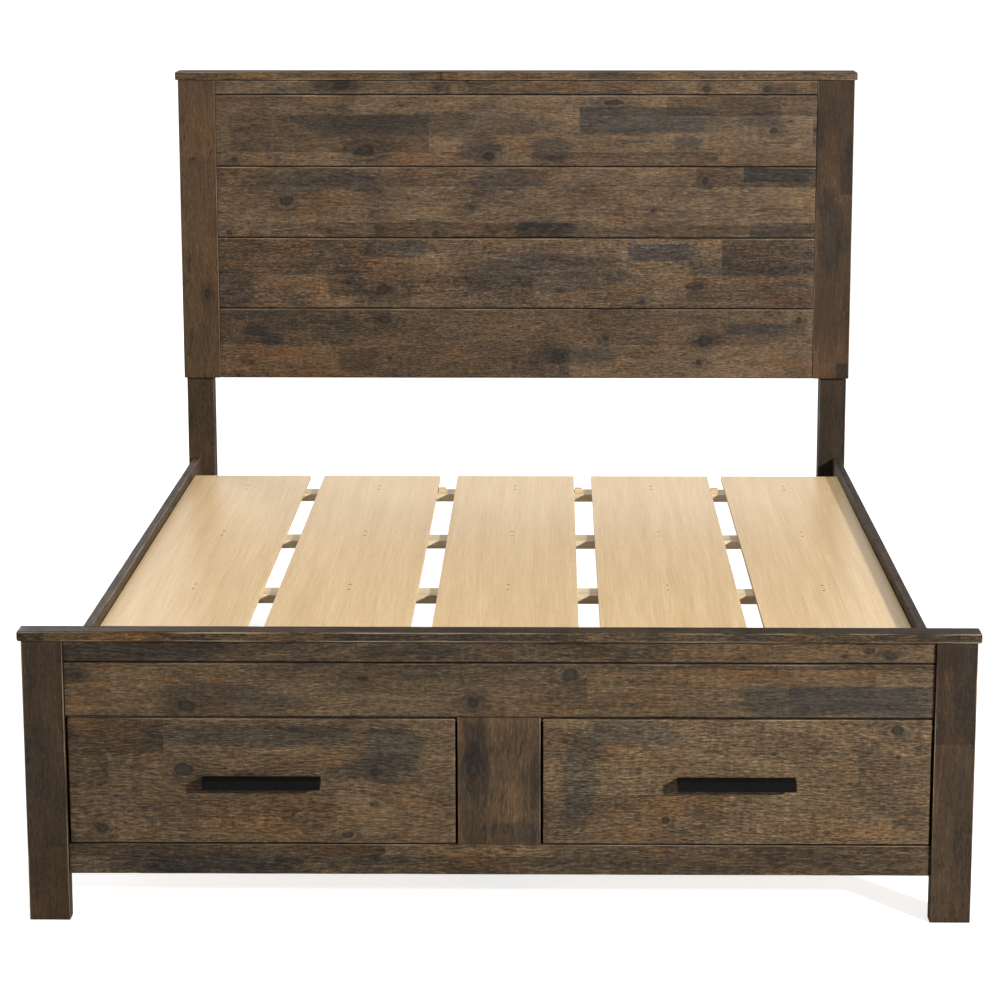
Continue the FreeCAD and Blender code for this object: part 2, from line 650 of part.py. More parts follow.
def check_and_write():
    doc.recompute()
    for piece in doc.Objects:
        if "Invalid" in piece.State or "Error" in piece.State:
            raise RuntimeError(f"{piece.Name} did not recompute: {piece.State}")
    for piece in parts:
        if piece.Shape.isNull() or not piece.Shape.isValid():
            raise RuntimeError(f"{piece.Label} has no valid shape")
        if not piece.Shape.Solids:
            raise RuntimeError(f"{piece.Label} has no solid")
    os.makedirs("parts", exist_ok=True)
    for piece in parts:
        piece.Shape.exportStep(f"parts/{piece.Label}.step")
        print(f"{piece.Label}: {len(piece.Shape.Solids)} solids, {piece.Shape.Volume / 1000:.1f} cm3")
    print(f"{len(parts)} nodes")


angles, bracket_screws = corner_brackets()
build_headboard(bracket_screws)
build_footboard(bracket_screws)
build_side_rails(bracket_screws)
keep(cut("angles_drilled", grouped("angles", angles), bracket_screws), "corner_brackets")
keep(bracket_screws, "bracket_screws")
build_deck()
build_case()
build_supports()
build_slides()
for drawer_side, drawer_word in SIDES:
    build_drawer(drawer_side, drawer_word)
check_and_write()
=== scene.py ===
"""Looks of a queen storage bed: worn acacia boards, veneered deck, pine battens and black pulls."""
import math
import bmesh
import bpy
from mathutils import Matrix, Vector, noise


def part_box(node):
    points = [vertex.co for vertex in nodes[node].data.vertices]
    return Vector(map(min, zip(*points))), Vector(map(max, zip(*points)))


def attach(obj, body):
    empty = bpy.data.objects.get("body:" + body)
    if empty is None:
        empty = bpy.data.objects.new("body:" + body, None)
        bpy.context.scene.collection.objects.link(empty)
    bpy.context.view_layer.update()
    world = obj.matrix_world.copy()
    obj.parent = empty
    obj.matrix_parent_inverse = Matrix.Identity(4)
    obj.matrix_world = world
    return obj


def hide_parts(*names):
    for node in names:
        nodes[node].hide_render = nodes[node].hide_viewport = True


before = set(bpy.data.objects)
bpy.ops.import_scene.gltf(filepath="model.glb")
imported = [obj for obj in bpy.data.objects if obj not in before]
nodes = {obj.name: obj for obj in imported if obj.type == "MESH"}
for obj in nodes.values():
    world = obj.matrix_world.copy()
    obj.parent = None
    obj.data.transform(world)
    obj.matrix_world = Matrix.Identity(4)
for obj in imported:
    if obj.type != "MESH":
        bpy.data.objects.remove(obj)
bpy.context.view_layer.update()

# ---------------------------------------------------------------- shader graphs


class Graph:
    """Short names for the shader nodes that the materials are made of."""

    def __init__(self, tree):
        self.tree = tree

    def add(self, kind, **settings):
        node = self.tree.nodes.new("ShaderNode" + kind)
        for name, value in settings.items():
            setattr(node, name, value)
        return node

    def feed(self, socket, value):
        if isinstance(value, bpy.types.NodeSocket):
            self.tree.links.new(value, socket)
        else:
            socket.default_value = value

    def math(self, operation, *values, clamp=False):
        node = self.add("Math", operation=operation, use_clamp=clamp)
        for socket, value in zip(node.inputs, values):
            self.feed(socket, value)
        return node.outputs[0]

    def plus(self, a, b):
        return self.math("ADD", a, b)

    def minus(self, a, b):
        return self.math("SUBTRACT", a, b)

    def times(self, a, b):
        return self.math("MULTIPLY", a, b)

    def nudge(self, layer, weight):
        """A layer centred on zero, so that it lightens as much as it darkens."""
        return self.times(self.minus(layer, 0.5), weight)

    def vector(self, x, y, z):
        node = self.add("CombineXYZ")
        for socket, value in zip(node.inputs, (x, y, z)):
            self.feed(socket, value)
        return node.outputs[0]

    def noise(self, vector, detail=2.0, roughness=0.5, distortion=0.0):
        node = self.add("TexNoise", noise_dimensions="3D")
        self.feed(node.inputs["Vector"], vector)
        self.feed(node.inputs["Scale"], 1.0)
        self.feed(node.inputs["Detail"], detail)
        self.feed(node.inputs["Roughness"], roughness)
        self.feed(node.inputs["Distortion"], distortion)
        return node.outputs["Fac"]

    def step(self, value, low, high):
        """0 below low, 1 above high, smooth between."""
        node = self.add("MapRange", interpolation_type="SMOOTHSTEP")
        for name, given in (("Value", value), ("From Min", low), ("From Max", high)):
            self.feed(node.inputs[name], given)
        return node.outputs["Result"]

    def mix(self, factor, a, b, blend="MIX"):
        node = self.add("Mix", data_type="RGBA", blend_type=blend, clamp_factor=True)
        self.feed(node.inputs[0], factor)
        self.feed(node.inputs[6], a)
        self.feed(node.inputs[7], b)
        return node.outputs[2]

    def ramp(self, value, stops):
        node = self.add("ValToRGB")
        bands = node.color_ramp.elements
        while len(bands) < len(stops):
            bands.new(0.5)
        for band, (place, colour) in zip(bands, stops):
            band.position = place
            band.color = colour
        self.feed(node.inputs[0], value)
        return node.outputs[0]

    def group(self, name, inputs):
        node = self.add("Group", node_tree=bpy.data.node_groups[name])
        for key, value in inputs.items():
            self.feed(node.inputs[key], value)
        return node.outputs


def shade(red, green, blue):
    """A colour given as 8-bit display values, in the linear units that shaders use."""
    linear = []
    for part in (red, green, blue):
        share = part / 255
        linear.append(share / 12.92 if share <= 0.04045 else ((share + 0.055) / 1.055) ** 2.4)
    return (*linear, 1.0)


# Browns of the stained wood, from its deepest grain to its brightest brush marks
WOOD_BROWNS = ((0.12, shade(29, 23, 18)), (0.32, shade(51, 41, 31)), (0.50, shade(76, 61, 46)),
               (0.68, shade(100, 82, 62)), (0.90, shade(136, 115, 90)))
PORE_BROWN = shade(30, 24, 19)
CHECK_BROWN = shade(24, 19, 15)
# Painted highlight for the glints where brushed fibres catch the light
GLINT_TAN = shade(138, 120, 100)
PIN_RING_BROWN = shade(48, 37, 28)
PIN_DOT_BROWN = shade(24, 20, 17)
KNOT_RING_BROWN = shade(36, 30, 24)
KNOT_HEART = shade(24, 21, 19)
KNOT_CORE = shade(56, 50, 45)
# Painted shade, laid into grooves, drawer reveals and side faces
PAINTED_SHADE_BLACK = shade(14, 12, 10)
# Rubbed edges, and a painted highlight along the lower lip of each groove
WORN_AND_HIGHLIGHT_TAN = shade(150, 130, 110)

# What each kind of stain does to the red, green and blue of the wood under it
AMBER_STAIN = (1.27, 0.96, 0.67, 1.0)
SMOKE_STAIN = (0.50, 0.60, 0.80, 1.0)
SLATE_STAIN = (0.42, 0.52, 0.72, 1.0)
KNOT_SMUDGE = (0.50, 0.58, 0.74, 1.0)
KNOT_GOLD = (1.35, 1.2, 1.0, 1.0)

VENEER_TANS = ((0.2, shade(193, 161, 117)), (0.5, shade(208, 178, 133)), (0.8, shade(221, 195, 153)))
VENEER_FLECK = shade(170, 138, 98)

# Depth of the surface relief, in metres
BRUSHED_RELIEF = 0.0009
PLANED_RELIEF = 0.0003
VENEER_RELIEF = 0.00012


def new_group(name, inputs, outputs):
    tree = bpy.data.node_groups.new(name, "ShaderNodeTree")
    for key in inputs:
        tree.interface.new_socket(key, in_out="INPUT", socket_type="NodeSocketFloat")
    for key, kind in outputs.items():
        tree.interface.new_socket(key, in_out="OUTPUT", socket_type="NodeSocket" + kind)
    graph = Graph(tree)
    source = tree.nodes.new("NodeGroupInput").outputs
    sink = tree.nodes.new("NodeGroupOutput").inputs
    return graph, source, sink


def knot_group():
    """One knot: how far it bends the grain, its dark heart, its amber rim and its smudged halo."""
    graph, given, out = new_group(
        "knot", ("Along", "Across", "Centre Along", "Centre Across", "Radius", "Stretch"),
        {"Bend": "Float", "Heart": "Float", "Core": "Float", "Rim": "Float", "Halo": "Float",
         "Rings": "Float"})
    run = graph.math("DIVIDE", graph.minus(given["Along"], given["Centre Along"]), given["Stretch"])
    rise = graph.minus(given["Across"], given["Centre Across"])
    square = graph.plus(graph.times(run, run), graph.times(rise, rise))
    radius_square = graph.times(given["Radius"], given["Radius"])
    pull = graph.math("DIVIDE", graph.times(radius_square, 1.3),
                      graph.plus(square, graph.times(radius_square, 0.6)))
    graph.feed(out["Bend"], graph.times(rise, pull))
    coarse_at = graph.vector(graph.times(given["Along"], 42.0), graph.times(given["Across"], 62.0),
                             given["Centre Along"])
    fine_at = graph.vector(graph.times(given["Along"], 160.0), graph.times(given["Across"], 320.0),
                           given["Centre Along"])
    coarse = graph.minus(graph.noise(coarse_at, 3.0, 0.6), 0.5)
    fine = graph.minus(graph.noise(fine_at, 2.0), 0.5)
    reach = graph.math("DIVIDE", graph.math("SQRT", square), given["Radius"])
    ragged = graph.plus(reach, graph.plus(graph.times(coarse, 1.9), graph.times(fine, 0.5)))
    graph.feed(out["Heart"], graph.minus(1.0, graph.step(ragged, 0.70, 1.10)))
    graph.feed(out["Core"], graph.minus(1.0, graph.step(ragged, 0.15, 0.70)))
    rim = graph.math("ABSOLUTE", graph.minus(ragged, 1.35))
    graph.feed(out["Rim"], graph.minus(1.0, graph.step(rim, 0.0, 0.35)))
    fading = graph.minus(1.0, graph.step(reach, 1.2, 3.2))
    graph.feed(out["Rings"], graph.times(graph.math("SINE", graph.times(ragged, 11.0)), fading))
    spread = graph.plus(reach, graph.plus(graph.times(coarse, 4.2), graph.times(fine, 0.8)))
    graph.feed(out["Halo"], graph.minus(1.0, graph.step(spread, 1.2, 3.2)))


# A crisp stain ends within this distance, in metres, of a glued joint
JOINT_BLUR = 0.001


def patch_group():
    """An oblong of slate stain: ragged all round, or crisp where it meets a glued joint."""
    graph, given, out = new_group(
        "patch", ("Along", "Across", "Centre Along", "Centre Across", "Half Along", "Half Across",
                  "Crisp"),
        {"Mask": "Float"})
    ragged_at = graph.vector(graph.times(given["Along"], 16.0), graph.times(given["Across"], 42.0),
                             given["Centre Along"])
    ragged = graph.nudge(graph.noise(ragged_at, 5.0, 0.65), 1.7)
    run = graph.math("DIVIDE", graph.minus(given["Along"], given["Centre Along"]), given["Half Along"])
    rise_from_centre = graph.minus(given["Across"], given["Centre Across"])
    rise = graph.math("DIVIDE", rise_from_centre, given["Half Across"])
    square = graph.plus(graph.math("POWER", graph.math("ABSOLUTE", run), 3.0),
                        graph.math("POWER", graph.math("ABSOLUTE", rise), 3.0))
    far = graph.plus(graph.math("POWER", square, 0.333), ragged)
    smudge = graph.minus(1.0, graph.step(far, 0.70, 1.20))
    past_left = graph.times(graph.plus(run, 1.0), given["Half Along"])
    past_top = graph.times(graph.minus(rise, 1.0), given["Half Across"])
    left_edge = graph.step(past_left, -JOINT_BLUR, JOINT_BLUR)
    below_top = graph.minus(1.0, graph.step(past_top, -JOINT_BLUR, JOINT_BLUR))
    fade = graph.minus(1.0, graph.step(graph.plus(run, graph.times(ragged, 0.5)), 0.6, 1.4))
    cloudy = graph.plus(1.0, graph.times(ragged, 0.35))
    block = graph.times(graph.times(left_edge, below_top), graph.times(fade, cloudy))
    block = graph.times(block, graph.step(graph.plus(rise, graph.times(ragged, 0.3)), -1.2, -0.8))
    block = graph.times(block, 1.3)
    mask = graph.add("Mix", data_type="FLOAT")
    graph.feed(mask.inputs[0], given["Crisp"])
    graph.feed(mask.inputs[2], smudge)
    graph.feed(mask.inputs[3], block)
    graph.feed(out["Mask"], mask.outputs[0])


def wood_group():
    """Wire-brushed, smoky-stained acacia, glued up from short staves."""
    graph, given, out = new_group(
        "acacia", ("Along", "Across", "Depth", "Seed", "Stave", "Tone", "Contrast", "Brush"),
        {"Color": "Color", "Height": "Float", "Smoke": "Float"})
    seed_shift = graph.times(given["Seed"], 3.73)
    rows_up = graph.math("DIVIDE", given["Across"], given["Stave"])
    row = graph.math("FLOOR", graph.plus(rows_up, seed_shift))
    stave = graph.add("TexVoronoi", voronoi_dimensions="1D")
    graph.feed(stave.inputs["W"], graph.plus(graph.times(given["Along"], 2.3),
                                             graph.plus(graph.times(row, 13.7), seed_shift)))
    graph.feed(stave.inputs["Scale"], 1.0)
    parts = graph.add("SeparateColor")
    graph.feed(parts.inputs[0], stave.outputs["Color"])
    tone_draw, warm_draw, smoke_draw = parts.outputs

    depth = graph.plus(given["Depth"], seed_shift)
    wave_at = graph.vector(graph.times(given["Along"], 2.6), graph.times(given["Across"], 6.0), depth)
    wavy = graph.plus(given["Across"], graph.nudge(graph.noise(wave_at, 2.0), 0.045))
    stave_along = graph.plus(given["Along"], graph.times(tone_draw, 7.3))
    stave_across = graph.plus(wavy, graph.times(row, 2.7))

    def field(long_scale, cross_scale, detail, roughness=0.55, shared=False, offset=0.0):
        along = given["Along"] if shared else stave_along
        across = wavy if shared else stave_across
        at = graph.vector(graph.plus(graph.times(along, long_scale), offset),
                          graph.times(across, cross_scale), graph.times(depth, cross_scale))
        return graph.noise(at, detail, roughness)

    cloud = field(5.5, 12.0, 4.0, 0.6, shared=True)
    stave_cloud = field(5.0, 13.0, 3.0)
    streak = field(6.0, 90.0, 3.0, 0.62)
    fibre = field(22.0, 330.0, 2.0, 0.6)
    grit = field(85.0, 400.0, 2.0, 0.6, shared=True, offset=3.0)
    chatter = field(240.0, 60.0, 2.0, shared=True, offset=7.0)
    smoke_field = field(8.0, 15.0, 7.0, 0.62, shared=True, offset=21.0)
    amber_field = field(4.4, 13.0, 6.0, 0.64, shared=True, offset=33.0)
    dashes = field(60.0, 300.0, 2.0, offset=9.0)
    glints = field(85.0, 330.0, 2.0, shared=True, offset=15.0)
    checks = field(5.0, 42.0, 3.0, 0.6, offset=27.0)
    check_places = field(9.0, 20.0, 3.0, 0.6, shared=True, offset=39.0)

    def blend(layers):
        total = 0.0
        for layer, weight in layers:
            total = graph.plus(total, graph.nudge(layer, weight))
        return total

    broad = blend(((cloud, 0.27), (stave_cloud, 0.20), (streak, 0.20), (tone_draw, 0.15)))
    close = blend(((fibre, 0.50), (grit, 0.88), (chatter, 0.20)))
    tone = graph.plus(0.5, given["Tone"])
    tone = graph.plus(tone, graph.times(broad, given["Contrast"]))
    tone = graph.plus(tone, graph.times(close, given["Brush"]))
    colour = graph.ramp(tone, WOOD_BROWNS)
    amber = graph.step(graph.plus(amber_field, graph.nudge(warm_draw, 0.14)), 0.47, 0.70)
    amber_colour = graph.mix(1.0, colour, AMBER_STAIN, "MULTIPLY")
    colour = graph.mix(graph.times(graph.times(amber, 0.62), given["Contrast"]), colour, amber_colour)
    smoke = graph.step(graph.plus(smoke_field, graph.nudge(smoke_draw, 0.16)), 0.53, 0.63)
    smoke_colour = graph.mix(1.0, colour, SMOKE_STAIN, "MULTIPLY")
    colour = graph.mix(graph.times(graph.times(smoke, 0.40), given["Contrast"]), colour, smoke_colour)
    pores = graph.times(graph.step(dashes, 0.60, 0.68), given["Brush"])
    colour = graph.mix(graph.times(pores, 0.52), colour, PORE_BROWN)
    split_line = graph.math("ABSOLUTE", graph.minus(checks, 0.5))
    split_here = graph.times(graph.minus(1.0, graph.step(split_line, 0.004, 0.022)),
                             graph.step(check_places, 0.52, 0.60))
    colour = graph.mix(graph.times(split_here, 0.60), colour, CHECK_BROWN)
    # Painted highlight: small tan glints where brushed fibres would catch the light
    glint_highlight_mask = graph.times(graph.step(glints, 0.62, 0.72), given["Brush"])
    colour = graph.mix(graph.times(glint_highlight_mask, 0.16), colour, GLINT_TAN)

    pin = graph.add("TexVoronoi", voronoi_dimensions="2D")
    pin_at = graph.vector(graph.plus(graph.times(stave_along, 5.5), seed_shift),
                          graph.times(stave_across, 11.0), 0.0)
    graph.feed(pin.inputs["Vector"], pin_at)
    graph.feed(pin.inputs["Scale"], 1.0)
    pin_parts = graph.add("SeparateColor")
    graph.feed(pin_parts.inputs[0], pin.outputs["Color"])
    present = graph.step(pin_parts.outputs[0], 0.66, 0.70)
    distance = graph.plus(pin.outputs["Distance"], graph.nudge(fibre, 0.05))
    size = graph.plus(0.02, graph.times(pin_parts.outputs[1], 0.055))
    dot = graph.minus(1.0, graph.step(distance, graph.times(size, 0.5), size))
    ring = graph.minus(1.0, graph.step(distance, size, graph.times(size, 3.4)))
    colour = graph.mix(graph.times(graph.times(ring, present), 0.42), colour, PIN_RING_BROWN)
    colour = graph.mix(graph.times(graph.times(dot, present), 0.8), colour, PIN_DOT_BROWN)

    graph.feed(out["Color"], colour)
    relief = graph.plus(graph.times(fibre, 0.5), graph.times(streak, 0.25))
    relief = graph.plus(relief, graph.times(grit, 0.25))
    graph.feed(out["Height"], graph.minus(relief, graph.times(pores, 0.30)))
    graph.feed(out["Smoke"], smoke)


def blank_material(name):
    material = bpy.data.materials.new(name)
    material.use_nodes = True
    tree = material.node_tree
    tree.nodes.clear()
    graph = Graph(tree)
    shader = graph.add("BsdfPrincipled")
    sink = graph.add("OutputMaterial")
    graph.feed(sink.inputs["Surface"], shader.outputs[0])
    return material, graph, shader


def object_axes(graph):
    place = graph.add("TexCoord")
    split = graph.add("SeparateXYZ")
    graph.feed(split.inputs[0], place.outputs["Object"])
    return dict(zip("XYZ", split.outputs))


def finish_surface(graph, shader, colour, rough, height, bump_depth):
    bump = graph.add("Bump")
    graph.feed(bump.inputs["Height"], height)
    bump.inputs["Distance"].default_value = bump_depth
    bump.inputs["Strength"].default_value = 1.0
    graph.feed(shader.inputs["Base Color"], colour)
    graph.feed(shader.inputs["Roughness"], rough)
    graph.feed(shader.inputs["Normal"], bump.outputs[0])


def acacia(name, grain, seed, stave=0.09, tone=0.0, knots=(), patches=(), contrast=1.0, brush=1.0,
           tint=(1.0, 1.0, 1.0)):
    """Rustic wood with its grain along one axis. Knots and patches are placed on the board's face.

    A knot is (along, across, radius, stretch), and a patch is (along, across, half run, half rise).
    A patch with a fifth value ends crisply at the joints of its stave. tint scales red, green and blue.
    """
    material, graph, shader = blank_material(name)
    axes = object_axes(graph)
    along = axes[grain]
    across, depth = {"X": (axes["Z"], axes["Y"]), "Z": (axes["X"], axes["Y"]),
                     "Y": (axes["Z"], axes["X"])}[grain]
    if name.endswith("cap"):
        # A cap lies flat, so its staves lie side by side along its depth
        across, depth = depth, across
    bend, heart, core, rim, halo, rings = 0.0, 0.0, 0.0, 0.0, 0.0, 0.0
    for centre_along, centre_across, radius, stretch in knots:
        knot = graph.group("knot", {
            "Along": along, "Across": across, "Centre Along": centre_along,
            "Centre Across": centre_across, "Radius": radius, "Stretch": stretch})
        bend = graph.plus(bend, knot["Bend"])
        heart = graph.math("MAXIMUM", heart, knot["Heart"])
        core = graph.math("MAXIMUM", core, knot["Core"])
        rim = graph.math("MAXIMUM", rim, knot["Rim"])
        halo = graph.math("MAXIMUM", halo, knot["Halo"])
        rings = graph.plus(rings, knot["Rings"])
    stain = 0.0
    for centre_along, centre_across, half_along, half_across, *crisp in patches:
        patch = graph.group("patch", {
            "Along": along, "Across": across, "Centre Along": centre_along,
            "Centre Across": centre_across, "Half Along": half_along, "Half Across": half_across,
            "Crisp": 1.0 if crisp else 0.0})
        stain = graph.math("MAXIMUM", stain, patch["Mask"])
    wood = graph.group("acacia", {
        "Along": along, "Across": graph.minus(across, bend), "Depth": depth,
        "Seed": seed, "Stave": stave, "Tone": tone, "Contrast": contrast,
        "Brush": brush})
    colour = graph.mix(1.0, wood["Color"], (*tint, 1.0), "MULTIPLY")
    if patches:
        stained = graph.mix(1.0, colour, SLATE_STAIN, "MULTIPLY")
        colour = graph.mix(graph.times(stain, 0.72), colour, stained)
    if knots:
        smudged = graph.mix(1.0, colour, KNOT_SMUDGE, "MULTIPLY")
        golden = graph.mix(1.0, colour, KNOT_GOLD, "MULTIPLY")
        dark_rings = graph.math("MAXIMUM", graph.times(rings, 0.35), 0.0)
        colour = graph.mix(graph.times(halo, 0.6), colour, smudged)
        colour = graph.mix(graph.times(rim, 0.35), colour, golden)
        colour = graph.mix(dark_rings, colour, KNOT_RING_BROWN)
        colour = graph.mix(graph.times(heart, 0.74), colour, KNOT_HEART)
        colour = graph.mix(graph.times(core, 0.28), colour, KNOT_CORE)
    # Painted shade: the wood darkens in grooves, in the gaps round drawers and on side faces
    painted_shade = graph.add("Attribute", attribute_name="painted_shade").outputs["Fac"]
    colour = graph.mix(painted_shade, colour, PAINTED_SHADE_BLACK)
    # Rubbed edge wear, with a painted highlight on the lower lip of each groove
    wear_and_highlight = graph.add("Attribute", attribute_name="wear_and_highlight").outputs["Fac"]
    colour = graph.mix(graph.times(wear_and_highlight, 0.7), colour, WORN_AND_HIGHLIGHT_TAN)
    rough = graph.plus(0.42, graph.times(wood["Height"], 0.30))
    rough = graph.plus(rough, graph.times(wood["Smoke"], 0.08))
    finish_surface(graph, shader, colour, rough, wood["Height"], BRUSHED_RELIEF)
    shader.inputs["Specular IOR Level"].default_value = 0.12
    return material


def veneer():
    """Pale tan wood-grain veneer on the deck boards, with lengthwise grain."""
    material, graph, shader = blank_material("deck_veneer")
    axes = object_axes(graph)
    sheet = graph.math("FLOOR", graph.times(graph.plus(axes["X"], 10.0), 3.13))
    wave_at = graph.vector(graph.times(axes["X"], 4.0), graph.times(axes["Y"], 1.1), sheet)
    sway = graph.nudge(graph.noise(wave_at, 2.0), 0.02)
    across = graph.plus(axes["X"], sway)

    def field(cross_scale, long_scale, detail, roughness=0.5):
        at = graph.vector(graph.times(across, cross_scale), graph.times(axes["Y"], long_scale), sheet)
        return graph.noise(at, detail, roughness)

    fine = field(300.0, 5.0, 3.0, 0.6)
    bands = field(42.0, 0.9, 3.0)
    flecks = field(620.0, 26.0, 1.0)
    tone = graph.plus(0.5, graph.nudge(bands, 0.6))
    tone = graph.plus(tone, graph.nudge(fine, 0.95))
    colour = graph.ramp(tone, VENEER_TANS)
    colour = graph.mix(graph.times(graph.step(flecks, 0.60, 0.70), 0.35), colour, VENEER_FLECK)
    rough = graph.plus(0.29, graph.times(fine, 0.12))
    finish_surface(graph, shader, colour, rough, fine, VENEER_RELIEF)
    shader.inputs["Specular IOR Level"].default_value = 0.30
    return material


def soft_timber(name, grain, light, dark, seed):
    """Planed pine or clear-sealed plywood: growth bands and fine fibres."""
    material, graph, shader = blank_material(name)
    axes = object_axes(graph)
    others = [axes[letter] for letter in "XYZ" if letter != grain]
    along = graph.plus(axes[grain], seed)
    bands_at = graph.vector(graph.times(along, 1.4), *(graph.times(axis, 38.0) for axis in others))
    fibres_at = graph.vector(graph.times(along, 14.0), *(graph.times(axis, 420.0) for axis in others))
    bands = graph.noise(bands_at, 3.0, 0.5, 0.3)
    fibres = graph.noise(fibres_at, 2.0)
    tone = graph.plus(graph.times(bands, 0.7), graph.times(fibres, 0.3))
    colour = graph.ramp(tone, ((0.3, dark), (0.55, light), (0.75, dark)))
    rough = graph.plus(0.5, graph.times(fibres, 0.2))
    finish_surface(graph, shader, colour, rough, fibres, PLANED_RELIEF)
    return material


def metal(name, colour, roughness, metallic, grain_depth, specular=0.3):
    """Powder coat, zinc plate or moulded plastic: fine speckle in tone, roughness and relief."""
    material, graph, shader = blank_material(name)
    place = graph.add("TexCoord").outputs["Object"]
    scaled = graph.add("VectorMath", operation="SCALE")
    graph.feed(scaled.inputs[0], place)
    scaled.inputs["Scale"].default_value = 900.0
    speckle = graph.noise(scaled.outputs[0], 2.0)
    broad = graph.add("VectorMath", operation="SCALE")
    graph.feed(broad.inputs[0], place)
    broad.inputs["Scale"].default_value = 30.0
    smear = graph.noise(broad.outputs[0], 3.0)
    lighter = tuple(min(1.0, part * 1.45 + 0.004) for part in colour[:3]) + (1.0,)
    mixed = graph.mix(graph.plus(graph.times(speckle, 0.5), graph.times(smear, 0.5)), colour, lighter)
    rough = graph.plus(roughness, graph.nudge(smear, 0.25))
    finish_surface(graph, shader, mixed, rough, speckle, grain_depth)
    shader.inputs["Metallic"].default_value = metallic
    shader.inputs["Specular IOR Level"].default_value = specular
    return material


knot_group()
patch_group()
wood_group()

# ---------------------------------------------------------------- worn boards


# Lengths are in metres
GROOVE_GAP = 0.0003  # half of the open gap in a groove
CORNER_STEPS = 4  # facets round each corner
FLAT_STEPS = 8  # facets across each flat
EDGE_SHARE = 0.012  # share of a flat that lies next to a corner
STATION_STEP = 0.014  # longest step along the grain
HOLLOW_DEPTH = 0.00035  # depth of the worn hollows, where the noise is full
NICK_DEPTH = 0.004  # how far a nick widens a corner, where the noise is full
END_TURN = (0.0, 0.35, 1.0)  # shares of the easing at which a rounded end has a ring


def smooth_noise(x, y, z):
    return noise.noise(Vector((x, y, z)))


def spaced(low, high, step):
    """Evenly spaced values from low to high, no further apart than step."""
    count = max(1, math.ceil((high - low) / step))
    return [low + (high - low) * index / count for index in range(count + 1)]


def worn_board(name, node, grain, body="frame", ease=0.0016, bevel=0.0, wear_and_highlight=0.6, seed=0.0):
    """Rebuilds a board inside its CAD box: hand-eased edges, faint hollows and worn corners.

    The section is swept along the grain. bevel widens the front edges into half of a groove, with
    painted shade down in it and a painted highlight on its lower lip.
    """
    low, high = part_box(node)
    grain_index = "XYZ".index(grain)
    front_index = 1 if grain != "Y" else 0
    side_index = 3 - grain_index - front_index
    half_width = (high[side_index] - low[side_index]) / 2 - (GROOVE_GAP if bevel else 0.0)
    half_depth = (high[front_index] - low[front_index]) / 2
    middle = (low + high) / 2
    stations = end_stations(low[grain_index], high[grain_index], ease)
    vertices, wear_and_highlights, painted_shades, faces = [], [], [], []
    ring_size = 0
    for place, inset in stations:
        ring = section(half_width, half_depth, ease, bevel, inset, place, seed)
        ring_size = len(ring)
        for across, deep, edge, dark in ring:
            point = Vector((0, 0, 0))
            point[grain_index] = place
            point[side_index] = middle[side_index] + across
            point[front_index] = middle[front_index] + deep
            vertices.append(point)
            patchy = max(0.0, smooth_noise(place * 9 + seed, across * 30, deep * 30) * 1.6 + 0.55)
            wear_and_highlights.append(min(1.0, edge * patchy * wear_and_highlight))
            painted_shades.append(dark)
    for station in range(len(stations) - 1):
        base = station * ring_size
        for step in range(ring_size):
            after = (step + 1) % ring_size
            faces.append((base + step, base + after, base + ring_size + after, base + ring_size + step))
    faces.append(tuple(reversed(range(ring_size))))
    faces.append(tuple(range(len(vertices) - ring_size, len(vertices))))
    mesh = bpy.data.meshes.new(name)
    mesh.from_pydata(vertices, [], faces)
    mesh.validate()
    mesh.attributes.new("wear_and_highlight", "FLOAT", "POINT").data.foreach_set("value", wear_and_highlights)
    mesh.attributes.new("painted_shade", "FLOAT", "POINT").data.foreach_set("value", painted_shades)
    for polygon in mesh.polygons:
        polygon.use_smooth = len(polygon.vertices) == 4
    piece = bpy.data.objects.new(name, mesh)
    bpy.context.scene.collection.objects.link(piece)
    make_outward(piece)
    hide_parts(node)
    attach(piece, body)
    return piece


def make_outward(piece):
    """Turns every face to look outwards."""
    shell = bmesh.new()
    shell.from_mesh(piece.data)
    bmesh.ops.recalc_face_normals(shell, faces=shell.faces)
    shell.to_mesh(piece.data)
    shell.free()


def end_stations(low, high, ease):
    """Places along the grain, with how far the section draws in at the rounded ends."""
    stations = []
    for share in END_TURN:
        inset = ease * (1 - math.sqrt(1 - (1 - share) ** 2))
        stations.append((low + ease * share, inset))
    stations += [(place, 0.0) for place in spaced(low + ease, high - ease, STATION_STEP)[1:-1]]
    for share in reversed(END_TURN):
        inset = ease * (1 - math.sqrt(1 - (1 - share) ** 2))
        stations.append((high - ease * share, inset))
    return stations


